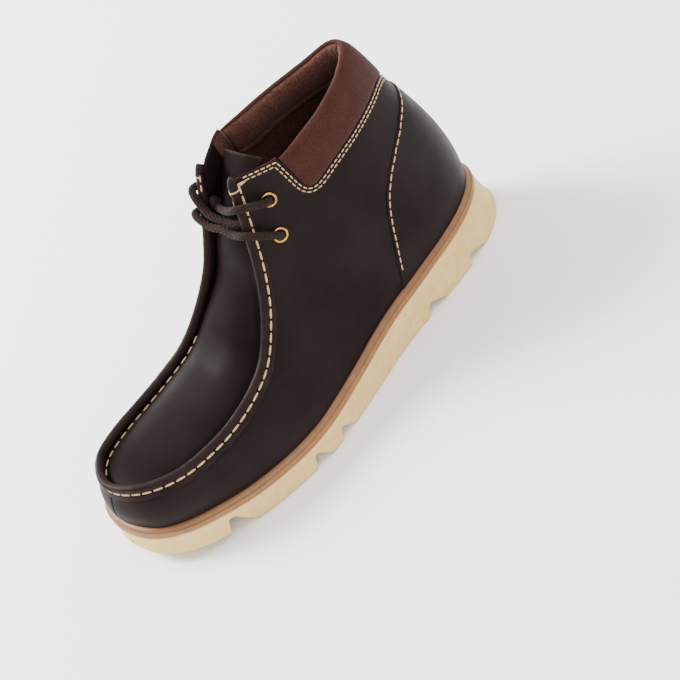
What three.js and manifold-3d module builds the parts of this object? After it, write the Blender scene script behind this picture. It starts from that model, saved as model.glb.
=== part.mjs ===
// A left ankle boot with a moccasin toe, a padded collar and a crepe wedge sole.
// Millimetres. +X is the outer side, the toe points along -Y, +Z is up.
import * as THREE from 'three';
import Module from 'manifold-3d';

const LENGTH = 300;        // the sole from heel to toe
const WIDTH = 109;         // the sole across the ball
const HEIGHT = 157;        // the floor to the top of the collar
const TOE_SPRING = 9.8;    // how far the tip of the toe stands off the floor
const SPRING_FROM = 0.72;  // where the spring starts, as a share from heel to toe
const HEEL_LIFT = 2.2;     // the worn-in curl at the back of the heel
const HEEL_FLARE = 4;      // how far the heel spreads at the floor
const LEDGE = 3.6;         // the welt shows this far outside the upper
const WELT_SIDE = 4.8;     // the welt's upright edge
const WELT = 7.1;          // the welt's whole thickness
const INSOLE = 3;
const LEATHER = 2.2;       // the wall of the upper
const PAD = 8;             // the collar from its suede to its lining
const TONGUE = 2.6;
const ROLL = 5.4;          // the rolled seam's thickness
const ROLL_IN = 2.9;       // how far its middle lies inward of the wall's top
const ROLL_UP = 1.7;       // and how far above it
const EYELET = 9.5;        // the brass ring across
const LACE = 4.7;
const GAP = 0.3;           // the space between two pieces

const RIBS = 38;           // ribs of the upper on each side
const wasm = await Module();
wasm.setup();
const group = new THREE.Group();

const clamp = THREE.MathUtils.clamp;
const vec = (x, y, z) => new THREE.Vector3(x, y, z);
const mix = (a, b, t) => a.clone().lerp(b, t);

// One column of a table with evenly spaced rows, read smoothly at a share from 0 to 1.
function read(rows, share, column) {
  const last = rows.length - 1, place = clamp(share, 0, 1) * last;
  const row = Math.min(Math.floor(place), last - 1), t = place - row;
  const value = (n) => (n < 0 ? 2 * value(0) - value(-n)
    : n > last ? 2 * value(last) - value(2 * last - n) : rows[n][column]);
  const [a, b, c, d] = [row - 1, row, row + 1, row + 2].map(value);
  return b + 0.5 * t * (c - a + t * (2 * a - 5 * b + 4 * c - d + t * (3 * (b - c) + d - a)));
}

// A closed skin over a row of rings of points, as a solid.
function loft(rings, closed = false) {
  const round = rings[0].length, faces = [];
  const at = (k, n) => (k % rings.length) * round + (n % round);
  for (let k = 0; k < rings.length - (closed ? 0 : 1); k++)
    for (let n = 0; n < round; n++)
      faces.push([at(k, n), at(k, n + 1), at(k + 1, n + 1)], [at(k, n), at(k + 1, n + 1), at(k + 1, n)]);
  for (const k of closed ? [] : [0, rings.length - 1])
    for (let n = 0; n < round / 2 - 1; n++) {
      const [a, b, c, d] = [at(k, n), at(k, round - 1 - n), at(k, round - 2 - n), at(k, n + 1)];
      faces.push(...(k ? [[a, d, c], [a, c, b]] : [[a, c, d], [a, b, c]]));
    }
  const vertProperties = new Float32Array(rings.flat().flatMap((p) => [p.x, p.y, p.z]));
  const make = (flip) => new wasm.Manifold(new wasm.Mesh({ numProp: 3, vertProperties,
    triVerts: new Uint32Array(faces.flatMap(([a, b, c]) => (flip ? [a, c, b] : [a, b, c]))) }));
  const solid = make(false);
  return solid.volume() < 0 ? make(true) : solid;
}

function add(name, solid, color, roughness, metalness = 0) {
  const { vertProperties, triVerts, numProp } = solid.getMesh();
  const spots = new Float32Array((vertProperties.length / numProp) * 3);
  for (let n = 0; n < spots.length; n++) spots[n] = vertProperties[Math.floor(n / 3) * numProp + (n % 3)];
  const geometry = new THREE.BufferGeometry().setAttribute('position', new THREE.BufferAttribute(spots, 3));
  geometry.setIndex([...triVerts]);
  const mesh = new THREE.Mesh(geometry, new THREE.MeshStandardMaterial({ color, roughness, metalness }));
  mesh.name = name;
  group.add(mesh);
}

// The sole's outline at evenly spaced turns from the heel to the toe: shares of the sole's width
// outward of the middle line, on the outer side and on the inner side.
const OUTLINE = [
  [0, 0], [0.132, 0.140], [0.249, 0.265], [0.328, 0.338], [0.363, 0.358], [0.389, 0.345],
  [0.460, 0.348], [0.515, 0.428], [0.478, 0.494], [0.397, 0.484], [0.301, 0.405], [0.150, 0.262],
  [-0.057, 0.057],
];
const turnOf = (share) => Math.acos(1 - 2 * clamp(share, 0, 1)) / Math.PI;
const shareOf = (y) => clamp(0.5 - y / LENGTH, 0, 1);

const yOf = (turn) => (LENGTH / 2) * Math.cos(Math.PI * turn);

// A point of the outline in plan, grown outward by some millimetres. Side is 1 outside, -1 inside.
function foot(side, turn, grow = 0) {
  const place = (t) => new THREE.Vector2(side * WIDTH * read(OUTLINE, t, side > 0 ? 0 : 1), yOf(t));
  const run = place(Math.min(turn + 0.01, 1)).sub(place(Math.max(turn - 0.01, 0))).normalize();
  return place(turn).add(new THREE.Vector2(-side * run.y, side * run.x).multiplyScalar(grow));
}

// Heights above the floor from heel to toe: the top of the crepe as a share of the boot's height.
const CREPE_TOP = [[0.155], [0.148], [0.117], [0.088], [0.090], [0.148]];
const crepeTop = (y) => HEIGHT * read(CREPE_TOP, shareOf(y), 0);
function floorAt(y) {
  const spring = Math.max(0, (shareOf(y) - SPRING_FROM) / (1 - SPRING_FROM));
  const lift = Math.max(0, 1 - shareOf(y) / 0.06);
  return TOE_SPRING * spring ** 2 + HEEL_LIFT * lift ** 2;
}

// A plate that follows the outline: each row of the section gives how far the outline is grown
// and the height there. The rows run from the lowest to the highest.
function plate(section, slices = 40) {
  const rings = [];
  for (let n = 0; n <= slices; n++) {
    const turn = 0.015 + (0.97 * n) / slices;
    const half = (side) => section.map(([grow, high]) => {
      const p = foot(side, turn, typeof grow === 'function' ? grow(yOf(turn)) : grow);
      return vec(p.x, p.y, high(p.y));
    });
    rings.push([...half(1), ...half(-1).reverse()]);
  }
  return loft(rings);
}

// The crepe wedge: it spreads towards the floor at the heel.
const flare = (y) => HEEL_FLARE * Math.max(0, 1 - shareOf(y) / 0.3) ** 2;
let crepe = plate([
  [(y) => 0.3 + flare(y), floorAt],
  [(y) => -0.6 + 0.45 * flare(y), (y) => THREE.MathUtils.lerp(floorAt(y), crepeTop(y), 0.55)],
  [0, crepeTop],
]);

// The tread: zigzag grooves across the sole. Each row gives the groove's front wall and its back
// wall as shares from the toe end, and its depth as a share of the sole's width.
const GROOVES = [
  [0.143, 0.179, 0.085], [0.318, 0.356, 0.070], [0.392, 0.430, 0.055],
  [0.726, 0.772, 0.055], [0.855, 0.900, 0.048],
];
const WAVES = 5;           // half waves of a groove across the sole
const SWING = 8;           // how far each one swings
const LEAN = 2.6;          // how far a groove's front wall leans back
const GROOVE_TOP = 2.8;    // the flat at its deepest
for (const [front, back, depth] of GROOVES) {
  const rings = [];
  for (let n = 0; n <= 2 * WAVES; n++) {
    const x = WIDTH * (n / WAVES - 1) * 0.62, swing = SWING * ((n % 2) - 0.5);
    const near = LENGTH * (front - 0.5) + swing, far = LENGTH * (back - 0.5) + swing;
    const low = Math.min(floorAt(near), floorAt(far)) - 5, high = floorAt(near) + WIDTH * depth;
    rings.push([vec(x, near - 1, low), vec(x, near - 1 + LEAN, high),
      vec(x, near - 1 + LEAN + GROOVE_TOP, high), vec(x, far + 1, low)]);
  }
  crepe = crepe.subtract(loft(rings));
}
add('outsole', crepe, 0xd2c09e, 0.85);

// The welt is a full plate between the crepe and the upper, with a sloped shoulder outside.
const weltTop = (y) => crepeTop(y) + GAP + WELT;
add('welt', plate([
  [0, (y) => crepeTop(y) + GAP],
  [0, (y) => crepeTop(y) + GAP + WELT_SIDE],
  [-LEDGE + 0.8, weltTop],
]), 0x9a6d48, 0.6);

// The insole lies on the welt inside the upper.
add('insole', plate([
  [-LEDGE - LEATHER - 1, (y) => weltTop(y) + GAP],
  [-LEDGE - LEATHER - 1, (y) => weltTop(y) + GAP + INSOLE],
], 30), 0x4a3026, 0.9);

// The ribs of the upper on one side, from the middle of the toe to the middle of the heel.
// foot is where the rib stands, as a share from heel to toe. middle, across, along and high place
// its top: shares of WIDTH, WIDTH, LENGTH and HEIGHT. belly and rise lead it out of the welt, and
// out, back and drop lead it into its top: shares of HEIGHT. On the inner side the top stands
// higher by inner, a share of HEIGHT, and further out by wider, a share of WIDTH.
const RIB = [
  // foot  middle  across  along   high    belly  rise   out    back    drop   inner  wider
  [1.000, -0.046, 0.000, -0.468, 0.335, 0.016, 0.060, 0.000, -0.022, 0.050, 0.000, 0.000],
  [0.975, -0.042, 0.126, -0.458, 0.338, 0.018, 0.062, 0.016, -0.018, 0.050, 0.000, 0.000],
  [0.930, -0.036, 0.247, -0.424, 0.334, 0.022, 0.070, 0.034, -0.016, 0.048, 0.000, 0.000],
  [0.870, -0.024, 0.322, -0.365, 0.322, 0.026, 0.085, 0.042, -0.008, 0.046, 0.000, 0.004],
  [0.790, -0.010, 0.345, -0.293, 0.320, 0.028, 0.092, 0.046, 0.000, 0.045, 0.000, 0.012],
  [0.700, -0.003, 0.336, -0.228, 0.323, 0.028, 0.092, 0.048, 0.000, 0.045, 0.012, 0.018],
  [0.620, 0.000, 0.309, -0.157, 0.345, 0.022, 0.100, 0.052, 0.000, 0.050, 0.030, 0.018],
  [0.550, 0.000, 0.268, -0.095, 0.392, 0.018, 0.120, 0.058, 0.002, 0.065, 0.070, 0.018],
  [0.490, 0.000, 0.229, -0.033, 0.516, 0.014, 0.150, 0.062, 0.004, 0.105, 0.062, 0.022],
  [0.445, 0.000, 0.202, 0.007, 0.650, 0.012, 0.180, 0.054, 0.006, 0.155, 0.050, 0.018],
  [0.410, 0.000, 0.182, 0.035, 0.790, 0.012, 0.210, 0.040, 0.008, 0.205, 0.030, 0.002],
  [0.375, 0.000, 0.169, 0.059, 0.930, 0.016, 0.235, 0.038, 0.012, 0.245, 0.010, -0.020],
  [0.355, 0.000, 0.165, 0.070, 0.984, 0.022, 0.238, 0.042, 0.016, 0.260, 0.000, -0.022],
  [0.335, 0.000, 0.203, 0.103, 0.978, 0.030, 0.234, 0.048, 0.014, 0.255, 0.012, -0.006],
  [0.305, 0.000, 0.244, 0.143, 0.968, 0.038, 0.230, 0.054, 0.012, 0.250, 0.028, 0.000],
  [0.250, 0.000, 0.266, 0.207, 0.984, 0.048, 0.225, 0.057, 0.014, 0.252, -0.004, 0.000],
  [0.170, 0.000, 0.248, 0.273, 0.993, 0.054, 0.235, 0.054, 0.024, 0.250, -0.018, 0.000],
  [0.090, 0.000, 0.176, 0.350, 1.003, 0.056, 0.255, 0.038, 0.030, 0.240, -0.018, 0.000],
  [0.030, 0.000, 0.086, 0.402, 1.017, 0.057, 0.272, 0.014, 0.030, 0.236, -0.004, 0.000],
  [0.000, 0.000, 0.000, 0.417, 1.019, 0.057, 0.280, 0.000, 0.026, 0.236, 0.000, 0.000],
];
const SEAM_END = 11.95;    // the row where the rolled seam ends
const THROAT = 8.6;        // the row where the apron ends and the tongue starts
const COLLAR = 14.1;       // the row where the collar starts
const LAST = RIB.length - 1;

// Four smooth closed curves through the ribs: their feet, their two handles and their tops.
const rails = [0, 1, 2, 3].map((which) => {
  const points = [];
  for (let n = 0; n < 2 * LAST; n++) {
    const side = n <= LAST ? 1 : -1;
    const [at, middle, across, along, high, belly, rise, out, back, drop, ...innerSide] =
      RIB[side > 0 ? n : 2 * LAST - n];
    const [higher, wider] = side > 0 ? [0, 0] : innerSide;
    const low = foot(side, turnOf(at), -LEDGE), wide = foot(side, turnOf(at), HEIGHT * belly - LEDGE);
    const top = vec(WIDTH * (middle + side * (across + wider)), LENGTH * along, HEIGHT * (high + higher));
    points.push([
      vec(low.x, low.y, weltTop(low.y) + GAP),
      vec(wide.x, wide.y, weltTop(low.y) + GAP + HEIGHT * rise),
      top.clone().add(vec(side * out, back, -drop).multiplyScalar(HEIGHT)),
      top,
    ][which]);
  }
  return new THREE.CatmullRomCurve3(points, true, 'catmullrom', 0.5);
});

// A point of the upper's skin. row counts the table's rows, negative on the inner side; up runs
// from the welt (0) to the top (1); off lifts it off the skin.
function skin(row, up, off = 0) {
  const spot = (r, t) => {
    const [a, b, c, d] = rails.map((rail) => rail.getPoint((((r / LAST / 2) % 1) + 1) % 1));
    return new THREE.CubicBezierCurve3(a, b, c, d).getPoint(t);
  };
  if (!off) return spot(row, up);
  return spot(row, up).addScaledVector(normalAt(row, up, spot), off);
}
function normalAt(row, up, spot = skin) {
  const across = spot(row + 0.02, up).sub(spot(row - 0.02, up));
  const upward = spot(row, up + 0.01).sub(spot(row, up - 0.01));
  return upward.cross(across).normalize().negate();
}

// The wall stands all round, as thick as the leather.
const UPS = [0, 0.1, 0.22, 0.36, 0.5, 0.64, 0.78, 0.9, 1];
const wall = loft(Array.from({ length: 2 * RIBS }, (_, n) => {
  const row = (n / RIBS) * LAST;
  return [...UPS.map((up) => skin(row, up)), ...UPS.toReversed().map((up) => skin(row, up, -LEATHER))];
}), true);

// The apron: sections from one seam to the other. CROWN is how far it domes, a share of HEIGHT.
const CROWN = [0, 0.006, 0.022, 0.038, 0.050, 0.056, 0.058, 0.060, 0.060, 0.052, 0.046, 0.042, 0.040];
const crownAt = (row) => HEIGHT * read(CROWN.map((v) => [v]), row / (CROWN.length - 1), 0);
function seamFrame(row) {
  const middle = (r) => mix(skin(r, 1), skin(-r, 1), 0.5);
  const chord = skin(row, 1).sub(skin(-row, 1)).normalize();
  const along = middle(row + 0.05).sub(middle(Math.max(row - 0.05, 0.01))).normalize();
  return { chord, along, lift: chord.clone().cross(along).normalize() };
}
const SINK = 1;            // the apron joins the wall this far under the seam's top
function apronPoint(row, share, off) {
  const { lift } = seamFrame(row);
  return mix(skin(-row, 1), skin(row, 1), (share + 1) / 2)
    .addScaledVector(lift, crownAt(row) * (1 - Math.abs(share) ** 2.2) - SINK + off);
}
const ACROSS = [-1, -0.86, -0.68, -0.46, -0.23, 0, 0.23, 0.46, 0.68, 0.86, 1];
const apronRows = Array.from({ length: 17 }, (_, n) => 0.15 + (THROAT - 0.15) * (n / 16) ** 1.25);
const apron = loft(apronRows.map((row) => [
  ...ACROSS.map((share) => apronPoint(row, share, 0)),
  ...ACROSS.toReversed().map((share) => apronPoint(row, share, -LEATHER)),
]));

// The rolled seam runs along the tops of the ribs, just inward of them. seamAt is a point of it:
// aside counts outward from the wall's top, and stand counts upward.
function seamAt(row, aside, stand) {
  const { lift } = seamFrame(Math.max(Math.abs(row), 0.2));
  const up = normalAt(row, 0.97).add(lift).normalize();
  const run = skin(row + 0.03, 1).sub(skin(row - 0.03, 1)).normalize();
  const out = run.clone().cross(up).normalize();
  const outward = skin(row, 1).addScaledVector(out, aside);
  return outward.addScaledVector(out.clone().cross(run).normalize(), stand);
}
const ROLL_SIDES = 6, ROLL_RINGS = 60;
const roll = loft(Array.from({ length: ROLL_RINGS + 1 }, (_, n) => {
  const row = SEAM_END * ((2 * n) / ROLL_RINGS - 1);
  return Array.from({ length: ROLL_SIDES }, (_, k) => {
    const turn = ((k + 0.5) / ROLL_SIDES) * 2 * Math.PI;
    return seamAt(row, (ROLL / 2) * Math.cos(turn) - ROLL_IN, (ROLL / 2) * Math.sin(turn) + ROLL_UP);
  });
}));

// The collar's lower edge from its front corner to the back of the heel, as shares of HEIGHT.
const COLLAR_LOW = [[0.822], [0.800], [0.818], [0.834], [0.822], [0.765]];
function collarUp(row) {
  const high = HEIGHT * read(COLLAR_LOW, (Math.abs(row) - COLLAR) / (LAST - COLLAR), 0);
  let [low, top] = [0.3, 1];
  for (let n = 0; n < 20; n++) {
    const half = (low + top) / 2;
    if (skin(row, half).z < high) low = half; else top = half;
  }
  return low;
}
// A band round the back of the ankle: each section pair is a share from the collar's lower edge to
// its top and how far it stands off the skin.
function band(from, sections) {
  const count = 30;
  return loft(Array.from({ length: count + 1 }, (_, n) => {
    const row = from + (2 * (LAST - from) * n) / count, side = row <= LAST ? row : row - 2 * LAST;
    const low = collarUp(Math.max(Math.abs(side), COLLAR));
    return sections(Math.min(n, count - n)).map(([share, off]) => skin(side, low + (1 - low) * share, off));
  }));
}
const collar = band(COLLAR, (fromEnd) => {
  const thick = PAD * (fromEnd > 2 ? 1 : [0.62, 0.8, 0.93][fromEnd]);
  const profile = [[0.01, 0.02], [0.16, 0.16], [0.42, 0.26], [0.68, 0.24], [0.86, 0.08], [0.96, -0.16]];
  return [
    ...profile.map(([share, off]) => [share, off * thick]),
    ...profile.toReversed().map(([share, off]) => [share, (-0.74 - off * 0.5) * thick]),
  ];
});
const collarRoom = band(COLLAR - 0.05, () => [
  [-0.03, 0.75 * PAD], [1.3, 0.75 * PAD], [1.3, -1.75 * PAD], [-0.03, -1.75 * PAD],
]);

// Eyelets: how many rows each stands ahead of the collar, its share up the rib, and the rows where
// its cord crosses the seam on the outer side and on the inner side. RING is the ring's profile as
// shares of EYELET: how far from its middle and how far above the leather.
const EYELETS = {
  lower: { row: COLLAR - 3.3, up: 0.745, crossing: { 1: 10.05, '-1': -9.85 } },
  upper: { row: COLLAR - 1.65, up: 0.84, crossing: { 1: 10.75, '-1': -10.6 } },
};
const RING = [[0.5, 0.07], [0.49, 0.13], [0.41, 0.17], [0.30, 0.12], [0.30, -0.37], [0.47, -0.37],
  [0.47, -0.31], [0.36, -0.31], [0.36, 0.07]];
function place(solid, row, up) {
  const facing = new THREE.Quaternion().setFromUnitVectors(vec(0, 0, 1), normalAt(row, up));
  return solid.transform(new THREE.Matrix4().makeRotationFromQuaternion(facing)
    .setPosition(skin(row, up)).elements);
}

let upper = wall.add(apron).add(roll).subtract(collarRoom);
for (const side of [1, -1])
  for (const [name, { row, up }] of Object.entries(EYELETS)) {
    const hole = wasm.Manifold.cylinder(12, 0.36 * EYELET + GAP, 0.36 * EYELET + GAP, 20, true);
    upper = upper.subtract(place(hole, side * row, up));
    const ring = loft(Array.from({ length: 16 }, (_, n) => RING.map(([r, z]) =>
      vec(r * EYELET, 0, z * EYELET).applyAxisAngle(vec(0, 0, 1), (n / 8) * Math.PI))), true);
    add(`eyelet_${side > 0 ? 'outer' : 'inner'}_${name}`, place(ring, side * row, up), 0xc8a046, 0.3, 1);
  }
add('upper', upper, 0x302625, 0.45);
add('collar', collar, 0x5f3c32, 0.95);

// The tongue leans back from under the apron. Each row gives its surface's middle line and shape:
// along and high place it, middle and half spread it, drop is how far its edges fall back.
const TONGUE_ROWS = [
  // along   high   middle  half   drop
  [-0.0468, 0.5325, 0.000, 0.128, 0.070],
  [-0.0248, 0.6095, 0.000, 0.133, 0.062],
  [0.002, 0.713, 0.000, 0.115, 0.048],
  [0.037, 0.822, 0.000, 0.113, 0.032],
  [0.077, 0.920, 0.004, 0.132, 0.024],
  [0.120, 1.003, 0.014, 0.150, 0.024],
];
function tonguePoint(share, across, off = 0) {
  const value = (column, at = share) => read(TONGUE_ROWS, at, column);
  const middle = (at) => vec(WIDTH * value(2, at), LENGTH * value(0, at), HEIGHT * value(1, at));
  const along = middle(Math.min(share + 0.02, 1)).sub(middle(Math.max(share - 0.02, 0))).normalize();
  const lift = vec(1, 0, 0).cross(along).normalize();
  return middle(share).add(vec(WIDTH * value(3) * across, 0, 0))
    .addScaledVector(lift, off - HEIGHT * value(4) * across ** 2);
}
const TONGUE_ACROSS = [-1, -0.75, -0.5, -0.25, 0, 0.25, 0.5, 0.75, 1];
const tongue = loft(Array.from({ length: 15 }, (_, n) => [
  ...TONGUE_ACROSS.map((across) => tonguePoint(n / 14, across)),
  ...TONGUE_ACROSS.toReversed().map((across) => tonguePoint(n / 14, across, -TONGUE)),
]));
add('tongue', tongue, 0x302625, 0.5);

// The lace is one cord: from inside the inner upper eyelet over the tongue and out of sight under
// the outer facing, through both lower eyelets, and the same way back to the outer upper eyelet.
const eyelet = (side, name, off, forward) => {
  const { row, up, crossing } = EYELETS[name];
  const toFront = skin(crossing[side], 1).sub(skin(side * row, up)).normalize();
  return skin(side * row, up, off).addScaledVector(toFront, forward);
};
const through = (side, name) => [[-5.7, 0.1], [-4.2, -0.25], [-1, 0], [1.2, 0], [3.5, 1.5], [4.4, 4.6]]
  .map(([off, forward]) => eyelet(side, name, off, forward));
const overSeam = (side, name) => seamAt(EYELETS[name].crossing[side], 0.4 - ROLL_IN,
  ROLL_UP + ROLL / 2 + LACE / 2 + 0.9);
const underSeam = (row) => seamAt(row, -ROLL_IN - 1.2, ROLL_UP - ROLL / 2 - LACE / 2 - 0.5);
const onTongue = (share, across, lift = 0) => tonguePoint(share, across, LACE / 2 + 0.9 + lift);
const route = [
  ...through(-1, 'upper'), overSeam(-1, 'upper'), onTongue(0.59, -0.75, 6.2), onTongue(0.565, 0),
  onTongue(0.57, 0.7), underSeam(10.15),
  ...through(1, 'lower'), overSeam(1, 'lower'), onTongue(0.52, 0.7, 3.8), onTongue(0.525, 0.08, 2.4),
  onTongue(0.515, -0.7, 5.4), overSeam(-1, 'lower'), ...through(-1, 'lower').reverse(),
  underSeam(-10.35), onTongue(0.62, -0.75), onTongue(0.63, 0, 0.3), onTongue(0.655, 0.6, 5.2),
  overSeam(1, 'upper'), ...through(1, 'upper').reverse(),
];
const path = new THREE.CatmullRomCurve3(route, false, 'centripetal');
const steps = 124, frames = path.computeFrenetFrames(steps);
const lace = loft(path.getSpacedPoints(steps).map((p, n) => Array.from({ length: 6 }, (_, k) => {
  const turn = ((k + 0.5) / 3) * Math.PI;
  return p.clone().addScaledVector(frames.normals[n], (LACE / 2) * Math.cos(turn))
    .addScaledVector(frames.binormals[n], (LACE / 2) * Math.sin(turn));
})));
add('lace', lace, 0x3e2d28, 0.9);

// The frame's origin is the middle of the boot's footprint.
const box = new THREE.Box3().setFromObject(group), middle = box.getCenter(vec(0, 0, 0));
for (const mesh of group.children) mesh.geometry.translate(-middle.x, -middle.y, -box.min.z);

export default group;
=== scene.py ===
import math

import bmesh
import bpy
import numpy as np
from mathutils import Matrix, Quaternion, Vector


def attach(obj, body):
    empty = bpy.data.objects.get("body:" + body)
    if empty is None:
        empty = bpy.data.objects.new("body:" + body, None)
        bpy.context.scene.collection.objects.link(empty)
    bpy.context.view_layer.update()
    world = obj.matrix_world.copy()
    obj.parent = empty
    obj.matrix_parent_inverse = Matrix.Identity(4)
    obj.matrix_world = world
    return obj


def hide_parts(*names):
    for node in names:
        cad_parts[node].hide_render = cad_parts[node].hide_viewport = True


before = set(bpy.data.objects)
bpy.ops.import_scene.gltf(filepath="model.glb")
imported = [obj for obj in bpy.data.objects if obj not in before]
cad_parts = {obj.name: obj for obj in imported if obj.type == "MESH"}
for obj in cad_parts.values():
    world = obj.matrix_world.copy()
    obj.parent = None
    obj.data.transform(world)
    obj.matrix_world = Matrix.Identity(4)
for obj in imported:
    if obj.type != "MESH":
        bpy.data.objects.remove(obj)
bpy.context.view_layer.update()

MM = 0.001
CAMERA_AT = Vector((968.71, -310.33, 870.38)) * MM
LOOKS_FROM, LOOKS_DOWN, TILT = math.radians(71.2), math.radians(40.2), math.radians(35.3)
LENS = 119.33

towards = Vector((math.sin(LOOKS_FROM) * math.cos(LOOKS_DOWN),
                  -math.cos(LOOKS_FROM) * math.cos(LOOKS_DOWN), math.sin(LOOKS_DOWN)))
camera = bpy.data.objects.new("camera", bpy.data.cameras.new("camera"))
bpy.context.scene.collection.objects.link(camera)
camera.data.lens = LENS
camera.location = CAMERA_AT
camera.rotation_mode = "QUATERNION"
camera.rotation_quaternion = towards.to_track_quat("Z", "Y") @ Quaternion((0, 0, 1), -TILT)
bpy.context.scene.camera = camera

SKY, SKY_STRENGTH = (0.93, 0.95, 1, 1), 1.45
world = bpy.data.worlds.new("studio")
world.use_nodes = True
world.node_tree.nodes["Background"].inputs["Color"].default_value = SKY
world.node_tree.nodes["Background"].inputs["Strength"].default_value = SKY_STRENGTH
bpy.context.scene.world = world

LIGHTS = [
    # name      place in metres      size  power
    ("window", (-1.6, -1.0, 1.8), 1.0, 205),
    ("overhead", (0.2, 1.2, 2.3), 2.2, 55),
    ("front", (2.0, -0.4, 1.0), 1.6, 30),
    ("low", (-1.7, -0.15, 0.32), 0.5, 20),
]
for name, place, size, power in LIGHTS:
    lamp = bpy.data.objects.new(name, bpy.data.lights.new(name, "AREA"))
    lamp.data.size, lamp.data.energy = size, power
    lamp.location = place
    lamp.rotation_mode = "QUATERNION"
    lamp.rotation_quaternion = Vector(place).to_track_quat("Z", "Y")
    bpy.context.scene.collection.objects.link(lamp)


def finish(name, base, roughness, **sockets):
    """A material with these values on its shader's own sockets."""
    made = bpy.data.materials.new(name)
    made.use_nodes = True
    shader = made.node_tree.nodes["Principled BSDF"]
    values = {"Base_Color": (*base, 1), "Roughness": roughness, **sockets}
    for socket, value in values.items():
        shader.inputs[socket.replace("_", " ")].default_value = value
    return made


def node(material, kind, settings=None, **inputs):
    """Adds a shader node; an input is a number, a colour or another node's output."""
    made = material.node_tree.nodes.new("ShaderNode" + kind)
    for key, value in (settings or {}).items():
        setattr(made, key, value)
    for key, value in inputs.items():
        socket = made.inputs[key.replace("_", " ")]
        if isinstance(value, bpy.types.NodeSocket):
            material.node_tree.links.new(value, socket)
        else:
            socket.default_value = value
    return made.outputs[0]


def into(material, socket, output):
    """Leads a node's output into the material's shader."""
    shader = material.node_tree.nodes["Principled BSDF"]
    material.node_tree.links.new(output, shader.inputs[socket])


def place_in(material, coordinates="Object"):
    return material.node_tree.nodes.new("ShaderNodeTexCoord").outputs[coordinates]


def grain(material, size, detail=2.0, roughness=0.5):
    """Even noise whose blotches are about this many millimetres across."""
    return node(material, "TexNoise", Vector=place_in(material), Scale=1 / (size * MM),
                Detail=detail, Roughness=roughness)


def spread(material, value, low, high, start=0.0, end=1.0):
    """Carries a value between low and high over to a value between start and end."""
    return node(material, "MapRange", Value=value, From_Min=low, From_Max=high, To_Min=start,
                To_Max=end)


def tint(material, share, under, over):
    """The under colour where share is 0, and the over colour where it is 1."""
    def colour(c):
        return c if isinstance(c, bpy.types.NodeSocket) else (*c, 1)
    return node(material, "MixRGB", Fac=share, Color1=colour(under), Color2=colour(over))


def mottle(material, noise, low, high, under, over):
    """Colours the surface from under to over as the noise goes from low to high."""
    into(material, "Base Color", tint(material, spread(material, noise, low, high), under, over))


PAPER, PAPER_SHADE = (0.86, 0.86, 0.86), (0.85, 0.85, 0.85)
FLOOR_HALF = 4
paper = finish("paper", PAPER, 0.9)
mottle(paper, grain(paper, 400), 0.3, 0.7, PAPER, PAPER_SHADE)
bm = bmesh.new()
bmesh.ops.create_grid(bm, x_segments=8, y_segments=8, size=FLOOR_HALF)
ground = bpy.data.objects.new("floor", bpy.data.meshes.new("floor"))
bm.to_mesh(ground.data)
bm.free()
ground.data.materials.append(paper)
bpy.context.scene.collection.objects.link(ground)


# The outsole is one wedge of soft crepe rubber, cast in a mould. Its zigzag ribs break out at the
# sides as steps, and its lug faces have the rubber's own pebbled grain.
LENGTH, WIDTH, HEIGHT = 300.0, 109.0, 157.0
TO_MIDDLE = np.array([-0.84005, -1.97791, 0.0])   # from the sole's middle line to the frame's
TOE_SPRING, SPRING_FROM = 9.8, 0.72
HEEL_LIFT, LIFT_TO = 2.2, 0.06
HEEL_FLARE, FLARE_TO = 4.0, 0.3
WAIST, WAIST_AT = -0.6, 0.55
FOOT_OUT = 0.3
LIP = 1.1                                         # the crepe stands up inside the welt's edge
OUTLINE = [
    # outer  inner, shares of the width, from the heel to the toe
    (0, 0), (0.132, 0.140), (0.249, 0.265), (0.328, 0.338), (0.363, 0.358), (0.389, 0.345),
    (0.460, 0.348), (0.515, 0.428), (0.478, 0.494), (0.397, 0.484), (0.301, 0.405),
    (0.150, 0.262), (-0.057, 0.057),
]
CREPE_TOP = [0.155, 0.148, 0.117, 0.088, 0.090, 0.148]
GROOVES = [
    # front   back    depth   reaches the sides
    (0.143, 0.179, 0.085, 1), (0.232, 0.266, 0.050, 0), (0.318, 0.356, 0.070, 1),
    (0.392, 0.430, 0.055, 1), (0.480, 0.514, 0.040, 0), (0.565, 0.599, 0.040, 0),
    (0.648, 0.682, 0.045, 0), (0.726, 0.772, 0.055, 1), (0.855, 0.900, 0.048, 1),
]
GROOVE_FRONT = (-1.8, -1.1, -0.5, 1.1, 1.7, 2.6, 3.9, 4.8)     # millimetres from its front edge
GROOVE_BACK = (-0.6, 0.5, 1.5)
GROOVE_CUT = (0, 0.03, 0.17, 0.86, 0.97, 1, 1, 0.95, 0.16, 0.04, 0)
CLOSED_FROM, CLOSED_AT = 0.7, 0.82
ZIGZAGS, SWING, ZIGZAG_SPAN = 5, 8.0, 0.62
STRAIGHT_AT, FULL_AT = 146, 128


def blend_rows(near, t):
    """The smooth curve between the middle two of four rows."""
    a, b, c, d = near
    return b + 0.5 * t * (c - a + t * (2 * a - 5 * b + 4 * c - d + t * (3 * (b - c) + d - a)))


def smooth(table, share):
    """Reads a table with evenly spaced rows smoothly, at shares from 0 to 1."""
    rows = np.asarray(table, float).reshape(len(table), -1)
    rows = np.vstack([2 * rows[0] - rows[1], rows, 2 * rows[-1] - rows[-2]])
    place = np.clip(share, 0, 1) * (len(table) - 1)
    first = np.minimum(place.astype(int), len(table) - 2)
    return blend_rows([rows[first + k] for k in range(4)], (place - first)[..., None])


def soft_step(value, start, end):
    t = np.clip((value - start) / (end - start), 0, 1)
    return t * t * (3 - 2 * t)


def unit(way):
    return way / np.linalg.norm(way, axis=-1, keepdims=True)


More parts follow.
